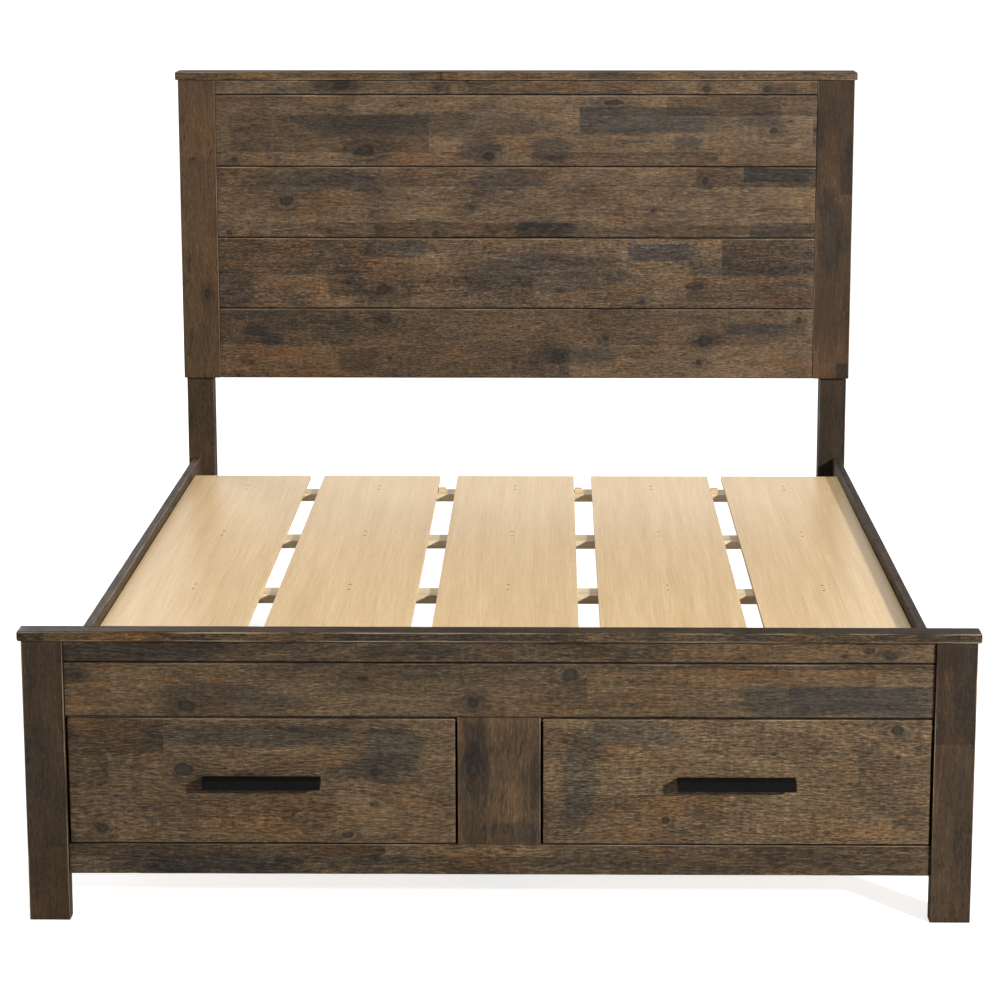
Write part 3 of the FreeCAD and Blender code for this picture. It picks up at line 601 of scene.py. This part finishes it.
def section(half_width, half_depth, ease, bevel, inset, place, seed):
    """One ring of the board: (across, deep, edge wear and painted highlight, painted shade), with a
    corner size that wanders.
    """
    ring = []
    for index, (side, face, start) in enumerate(((1, -1, -90), (1, 1, 0), (-1, 1, 90), (-1, -1, 180))):
        grooved = bevel > 0 and face < 0
        size = bevel if grooved else ease
        wander = smooth_noise(place * 11 + index * 5.3 + seed, seed * 2.1, index)
        nick = max(0.0, smooth_noise(place * 47 + index * 3.1, seed, 4.2) - 0.32)
        size = min(size * (1 + 0.3 * wander) + nick * NICK_DEPTH, half_depth * 0.8)
        centre = (side * (half_width - size), face * (half_depth - size))
        for step in range(CORNER_STEPS + 1):
            share = step / CORNER_STEPS
            angle = math.radians(start + 90 * share)
            edge = 1.0 - abs(share - 0.5) * 1.2
            dark = 0.0
            # In a groove, the lower lip gets a painted highlight near the front and the inner part of
            # each bevel gets painted shade
            if grooved:
                inward = share if side > 0 else 1 - share
                edge = max(0.0, 0.9 - inward * 3) if side > 0 else 0.0
                dark = max(0.0, inward - 0.20) * 2.2
            # Other front corners: rubbed wear near the front face, painted shade where the corner turns
            # onto a side face
            elif face < 0:
                inward = share if side > 0 else 1 - share
                edge = max(0.0, 1 - abs(inward - 0.3) * 3)
                dark = max(0.0, inward - 0.55) * 1.6
            across = centre[0] + size * math.cos(angle)
            deep = centre[1] + size * math.sin(angle)
            ring.append((across, deep, edge, min(1.0, dark)))
        ring += face_points(size, side, face, half_width, half_depth, place, seed, bevel > 0)
    scale_across = (half_width - inset) / half_width
    scale_deep = (half_depth - inset) / half_depth
    return [(across * scale_across, deep * scale_deep, edge, dark) for across, deep, edge, dark in ring]


def face_points(size, side, face, half_width, half_depth, place, seed, full_side_shade):
    """Points on the flat that follows a corner, with hollows of a few tenths of a millimetre."""
    points = []
    along_depth = (side, face) in ((1, -1), (-1, 1))
    for share in (EDGE_SHARE, *(step / FLAT_STEPS for step in range(1, FLAT_STEPS)), 1 - EDGE_SHARE):
        worn_here = smooth_noise(place * 3.5 + seed, share * 4 + side, face * 2 + seed) + 0.3
        hollow = HOLLOW_DEPTH * max(0.0, worn_here)
        if along_depth:
            flat = half_depth - size
            # A side face looks at the next part, so it gets painted shade: full beside a groove,
            # lighter elsewhere
            points.append((side * (half_width - hollow), face * flat * (1 - 2 * share), 0.0,
                           1.0 if full_side_shade else 0.3))
        else:
            flat = half_width - size
            points.append((side * flat * (1 - 2 * share), face * (half_depth - hollow), 0.0, 0.0))
    return points


def dress(piece, material):
    piece.data.materials.clear()
    piece.data.materials.append(material)


# Each horizontal board: seed, brush marks, stave height, tone, knots, patches
PLANKS = {
    "headboard_top_rail": (
        0.0, 0.9, 0.08, -0.03,
        ((-0.428, 1.319, 0.011, 1.8), (0.611, 1.309, 0.009, 1.3), (0.463, 1.310, 0.007, 1.6),
         (-0.194, 1.314, 0.005, 1.5)),
        ((-0.43, 1.317, 0.07, 0.014), (0.64, 1.31, 0.05, 0.012))),
    "headboard_plank_1": (
        1.3, 0.8, 0.088, -0.02,
        ((-0.369, 1.160, 0.014, 1.8), (-0.064, 1.148, 0.010, 1.5), (0.628, 1.210, 0.009, 1.8),
         (0.240, 1.277, 0.007, 3.4), (-0.688, 1.138, 0.006, 1.2)),
        ((0.32, 1.236, 0.165, 0.031, 1), (-0.25, 1.225, 0.34, 0.028), (0.415, 1.182, 0.04, 0.02),
         (0.083, 1.163, 0.05, 0.03), (-0.09, 1.17, 0.05, 0.035), (0.60, 1.235, 0.06, 0.02))),
    "headboard_plank_2": (
        2.9, 0.95, 0.088, -0.05,
        ((-0.564, 1.036, 0.013, 1.2), (0.464, 1.086, 0.008, 1.2), (0.333, 1.014, 0.005, 1.4),
         (-0.198, 0.958, 0.008, 1.3), (-0.705, 0.960, 0.008, 1.1), (-0.460, 0.962, 0.004, 1.5),
         (-0.110, 1.022, 0.006, 1.2)),
        ((-0.50, 1.083, 0.17, 0.024), (0.643, 1.102, 0.086, 0.017, 1), (0.10, 0.97, 0.12, 0.02),
         (0.45, 0.965, 0.2, 0.014), (-0.02, 1.09, 0.09, 0.03))),
    "headboard_plank_3": (
        4.1, 1.15, 0.088, -0.05,
        ((-0.323, 0.817, 0.014, 2.0), (0.452, 0.826, 0.008, 1.4), (-0.41, 0.835, 0.006, 1.3),
         (0.311, 0.790, 0.005, 1.2), (0.109, 0.816, 0.004, 1.3)),
        ((0.353, 0.911, 0.078, 0.021, 1), (0.58, 0.870, 0.16, 0.020), (-0.70, 0.82, 0.06, 0.05),
         (-0.292, 0.918, 0.09, 0.022), (-0.42, 0.835, 0.05, 0.03), (0.06, 0.86, 0.2, 0.05))),
    "headboard_plank_4": (
        5.7, 1.0, 0.088, -0.06,
        ((0.464, 0.691, 0.013, 1.3), (0.106, 0.650, 0.008, 1.3), (0.223, 0.697, 0.006, 1.6),
         (-0.553, 0.739, 0.005, 1.0), (0.698, 0.744, 0.008, 1.0), (-0.324, 0.744, 0.011, 1.5),
         (-0.314, 0.648, 0.003, 1.0), (0.452, 0.639, 0.007, 1.3)),
        ((-0.648, 0.718, 0.036, 0.015), (-0.604, 0.694, 0.030, 0.021), (0.59, 0.720, 0.09, 0.016),
         (0.15, 0.655, 0.10, 0.025), (-0.389, 0.643, 0.05, 0.035))),
    "footboard_top_rail": (
        6.6, 0.85, 0.08, -0.16, ((0.673, 0.481, 0.009, 1.5), (0.636, 0.490, 0.007, 1.6)),
        ((-0.62, 0.487, 0.13, 0.02), (-0.15, 0.485, 0.1, 0.014))),
    "footboard_panel": (
        7.7, 0.85, 0.055, -0.14,
        ((-0.541, 0.388, 0.013, 1.3), (-0.044, 0.396, 0.009, 1.3), (0.122, 0.446, 0.013, 1.2),
         (-0.733, 0.442, 0.007, 1.6)),
        ((0.624, 0.401, 0.125, 0.025, 1), (-0.735, 0.443, 0.025, 0.012), (-0.48, 0.40, 0.12, 0.03),
         (0.46, 0.40, 0.05, 0.03))),
    "footboard_bottom_rail": (8.4, 1.0, 0.07, -0.15, (), ((-0.5, 0.10, 0.15, 0.02),)),
}

PLANK_CONTRAST = 1.12
GROOVE_BEVEL = 0.003
# The footboard is a slightly yellower brown than the headboard, and the uprights are warmer still
HEAD_TINT = (0.99, 0.995, 0.98)
FOOT_TINT = (0.99, 0.99, 0.88)
CAP_TINT = (1.0, 0.97, 0.80)
UPRIGHT_TINT = (1.03, 0.95, 0.80)
RIGHT_STILE_TINT = (1.08, 0.94, 0.74)

for node_name, (seed, brush, stave, tone, knots, patches) in PLANKS.items():
    tint = FOOT_TINT if node_name.startswith("footboard") else HEAD_TINT
    plank_wood = acacia(f"acacia_{node_name}", "X", seed, stave, tone, knots, patches,
                        PLANK_CONTRAST, brush, tint)
    groove = GROOVE_BEVEL if node_name != "footboard_bottom_rail" else 0.0
    dress(worn_board(f"worn_{node_name}", node_name, "X", bevel=groove, seed=seed), plank_wood)

UPRIGHT_BRUSH = 0.42
# Each upright: seed, stave width, tone, contrast, knots, patches
UPRIGHTS = {
    "headboard_stile_left": (9.1, 0.5, -0.09, 0.75, ((0.808, -0.760, 0.008, 1.3),), ()),
    "headboard_stile_right": (
        10.3, 0.5, -0.22, 1.3, ((1.06, 0.755, 0.006, 1.2),),
        ((0.95, 0.77, 0.10, 0.03), (1.22, 0.73, 0.05, 0.02))),
    "headboard_leg_left": (11.2, 0.5, -0.21, 0.8, (), ()),
    "headboard_leg_right": (12.6, 0.5, -0.30, 0.8, (), ()),
    "footboard_post_left": (13.4, 0.5, -0.22, 0.9, (), ()),
    "footboard_post_right": (14.8, 0.5, -0.31, 1.4, ((0.106, 0.765, 0.004, 1.0),), ()),
    "footboard_centre_stile": (
        15.9, 0.075, -0.11, 1.2, ((0.273, -0.044, 0.011, 1.3), (0.243, -0.050, 0.007, 1.3)),
        ((0.32, -0.04, 0.045, 0.022), (0.16, 0.02, 0.02, 0.05))),
}
for node_name, (seed, stave, tone, contrast, knots, patches) in UPRIGHTS.items():
    tint = RIGHT_STILE_TINT if node_name == "headboard_stile_right" else UPRIGHT_TINT
    upright_wood = acacia(f"acacia_{node_name}", "Z", seed, stave, tone, knots, patches, contrast,
                          UPRIGHT_BRUSH, tint)
    dress(worn_board(f"worn_{node_name}", node_name, "Z", wear_and_highlight=0.8, seed=seed), upright_wood)

for node_name, seed, tone in (("headboard_cap", 17.2, -0.09), ("footboard_cap", 18.5, -0.20)):
    cap_wood = acacia(f"acacia_{node_name}", "X", seed, stave=0.05, tone=tone, contrast=1.4,
                      tint=CAP_TINT)
    dress(worn_board(f"worn_{node_name}", node_name, "X", ease=0.003, wear_and_highlight=0.8, seed=seed), cap_wood)

# Each drawer front: seed, brush marks, tone, knots, patches
DRAWERS = {
    "left": (
        19.3, 0.95, -0.10,
        ((-0.691, 0.168, 0.011, 1.3), (-0.211, 0.272, 0.008, 1.5), (-0.265, 0.156, 0.007, 1.8),
         (-0.685, 0.272, 0.004, 1.0), (-0.220, 0.212, 0.003, 1.5), (-0.550, 0.274, 0.011, 1.6)),
        ((-0.24, 0.272, 0.07, 0.014), (-0.19, 0.30, 0.06, 0.05), (-0.42, 0.335, 0.2, 0.02))),
    "right": (
        21.7, 1.15, -0.06, ((0.688, 0.347, 0.009, 1.3), (0.289, 0.184, 0.006, 1.2)),
        ((0.22, 0.34, 0.10, 0.025), (0.14, 0.26, 0.03, 0.09))),
}
for word, (seed, brush, tone, knots, patches) in DRAWERS.items():
    front_wood = acacia(f"acacia_{word}_front", "X", seed, stave=0.075, tone=tone, knots=knots,
                        patches=patches, contrast=1.1, brush=brush, tint=FOOT_TINT)
    front = worn_board(f"worn_{word}_front", f"{word}_drawer_front", "X", body=f"{word}_drawer",
                       seed=seed)
    dress(front, front_wood)

for word, seed in (("left", 23.0), ("right", 24.4)):
    rail_wood = acacia(f"acacia_rail_{word}", "Y", seed, stave=0.095, tone=-0.06)
    dress(worn_board(f"worn_rail_{word}", f"side_rail_{word}", "Y", seed=seed), rail_wood)

brace_wood = acacia("acacia_braces", "Z", seed=26.0, stave=0.08, tone=-0.08)
dress(nodes["headboard_back_braces"], brace_wood)

# ---------------------------------------------------------------- carried-over CAD nodes

deck_wood = veneer()
pine_cross = soft_timber("pine_battens", "X", shade(206, 190, 158), shade(170, 148, 114), seed=3.0)
pine_up = soft_timber("pine_supports", "Z", shade(222, 204, 170), shade(196, 172, 134), seed=5.0)
pine_long = soft_timber("pine_cleats", "Y", shade(216, 196, 160), shade(190, 164, 126), seed=7.0)
ply_long = soft_timber("plywood_sides", "Y", shade(196, 166, 126), shade(168, 136, 98), seed=9.0)
ply_cross = soft_timber("plywood_backs", "X", shade(196, 166, 126), shade(168, 136, 98), seed=11.0)
coat = metal("black_powder_coat", shade(5, 6, 5), roughness=0.42, metallic=0.0, grain_depth=0.00006,
             specular=0.03)
zinc = metal("zinc_plate", shade(150, 152, 154), roughness=0.42, metallic=1.0, grain_depth=0.00002)
dark_zinc = metal("dark_zinc", shade(30, 27, 24), roughness=0.6, metallic=0.2, grain_depth=0.00002,
                  specular=0.1)
plastic = metal("foot_plastic", shade(34, 34, 35), roughness=0.6, metallic=0.0, grain_depth=0.00004)

ROUTES = (
    (("deck_board",), deck_wood), (("batten",), pine_cross), (("locating",), ply_cross),
    (("support",), pine_up), (("rail_cleats",), pine_long), (("levelling",), plastic),
    (("case_back", "left_drawer_back", "right_drawer_back"), ply_cross),
    (("case", "left_drawer_side", "right_drawer_side", "left_drawer_bottom", "right_drawer_bottom"),
     ply_long),
    (("left_drawer_handle", "right_drawer_handle"), coat),
    (("deck_screws", "slide", "left_slide", "right_slide"), dark_zinc),
    (("corner", "bracket", "left_handle", "right_handle"), zinc),
)
# The first start that fits a node's name gives its material
for node_name, carried in nodes.items():
    for starts, material in ROUTES:
        if node_name.startswith(starts):
            dress(carried, material)
            break

# ---------------------------------------------------------------- floor, light and camera

# The backdrop reads as white paper, but gives the bed only a little of its own light. Glossy boards
# mirror its far wall.
FLOOR_WHITE = 0.78
STUDIO_GLOW = 0.12
SKY_GLOW = 0.35
WALL_SHEEN = 0.85
# The floor brightens to white between these distances from the middle, in metres
FLOOR_FADE = (3.0, 16.0)


def studio_sweep():
    """A pale floor that curves up into a white wall all round, well beyond the bed and the lamps."""
    reach, corner, top = 26.0, 8.0, 14.0
    turns, bends = 64, 8
    profile = [(0.0, 0.0), (2.0, 0.0), (5.0, 0.0), (9.0, 0.0), (reach - corner, 0.0)]
    for step in range(1, bends + 1):
        angle = math.radians(90 * step / bends)
        profile.append((reach - corner + corner * math.sin(angle), corner - corner * math.cos(angle)))
    profile.append((reach, top))
    vertices = [(0.0, 0.0, 0.0)]
    faces = []
    for radius, height in profile[1:]:
        for turn in range(turns):
            angle = 2 * math.pi * turn / turns
            vertices.append((radius * math.cos(angle), radius * math.sin(angle), height))
    for turn in range(turns):
        after = (turn + 1) % turns
        faces.append((0, 1 + turn, 1 + after))
        for ring in range(len(profile) - 2):
            base = 1 + ring * turns
            faces.append((base + turn, base + turns + turn, base + turns + after, base + after))
    mesh = bpy.data.meshes.new("studio_sweep")
    mesh.from_pydata(vertices, [], faces)
    for polygon in mesh.polygons:
        polygon.use_smooth = True
    sweep = bpy.data.objects.new("studio_sweep", mesh)
    bpy.context.scene.collection.objects.link(sweep)
    material, graph, shader = blank_material("studio_sweep")
    place = graph.add("TexCoord").outputs["Object"]
    length = graph.add("VectorMath", operation="LENGTH")
    graph.feed(length.inputs[0], place)
    far = graph.step(length.outputs["Value"], *FLOOR_FADE)
    mottled = graph.nudge(graph.noise(place, 2.0), 0.04)
    seen = graph.plus(graph.plus(FLOOR_WHITE, graph.times(far, 1.0 - FLOOR_WHITE)), mottled)
    rays = graph.add("LightPath").outputs
    glow = graph.plus(graph.times(seen, rays["Is Camera Ray"]),
                      graph.times(STUDIO_GLOW, graph.minus(1.0, rays["Is Camera Ray"])))
    sheen = graph.times(rays["Is Glossy Ray"], WALL_SHEEN)
    glow = graph.plus(glow, graph.times(graph.times(far, far), sheen))
    colour = graph.mix(graph.noise(place, 2.0), (0.50, 0.50, 0.50, 1), (0.52, 0.52, 0.52, 1))
    graph.feed(shader.inputs["Base Color"], colour)
    graph.feed(shader.inputs["Emission Color"], graph.vector(glow, glow, glow))
    shader.inputs["Emission Strength"].default_value = 1.0
    shader.inputs["Roughness"].default_value = 0.9
    shader.inputs["Specular IOR Level"].default_value = 0.1
    dress(sweep, material)


def soft_box(name, place, target, size, power):
    light = bpy.data.lights.new(name, "AREA")
    light.shape = "SQUARE"
    light.size = size
    light.energy = power
    lamp = bpy.data.objects.new(name, light)
    lamp.location = place
    lamp.rotation_euler = (Vector(target) - Vector(place)).to_track_quat("-Z", "Y").to_euler()
    bpy.context.scene.collection.objects.link(lamp)


def studio():
    studio_sweep()
    world = bpy.data.worlds.new("studio")
    world.use_nodes = True
    graph = Graph(world.node_tree)
    background = world.node_tree.nodes["Background"]
    background.inputs["Color"].default_value = (1, 1, 1, 1)
    seen_directly = graph.add("LightPath").outputs["Is Camera Ray"]
    glow = graph.plus(graph.times(seen_directly, 1.0 - SKY_GLOW), SKY_GLOW)
    graph.feed(background.inputs["Strength"], glow)
    scene = bpy.context.scene
    scene.world = world
    scene.view_settings.view_transform = "Standard"
    scene.view_settings.look = "None"
    soft_box("key", place=(5.05, -6.2, 3.05), target=(0, -0.3, 0.5), size=0.5, power=1200)
    soft_box("overhead", place=(0.4, -0.2, 6.0), target=(0, 0.2, 0.4), size=3.0, power=100)
    soft_box("back fill", place=(-4.2, 6.0, 2.6), target=(0, 0.8, 0.6), size=2.5, power=260)


# The camera stands beyond the foot end, above the headboard's height, and looks a little down
LENS_MM = 96.9
LENS_SHIFT_X = -0.03
LENS_SHIFT_Y = -0.10
CAMERA_PLACE = (0.095, -5.542, 1.749)
LOOKS_DOWN = 10.41
TURNED_LEFT = 0.53


def camera():
    lens = bpy.data.cameras.new("camera")
    lens.lens = LENS_MM
    lens.sensor_width = 36.0
    lens.shift_x = LENS_SHIFT_X
    lens.shift_y = LENS_SHIFT_Y
    lens.clip_end = 200
    view = bpy.data.objects.new("camera", lens)
    view.location = CAMERA_PLACE
    view.rotation_euler = (math.radians(90 - LOOKS_DOWN), 0, math.radians(TURNED_LEFT))
    bpy.context.scene.collection.objects.link(view)
    bpy.context.scene.camera = view


studio()
camera()
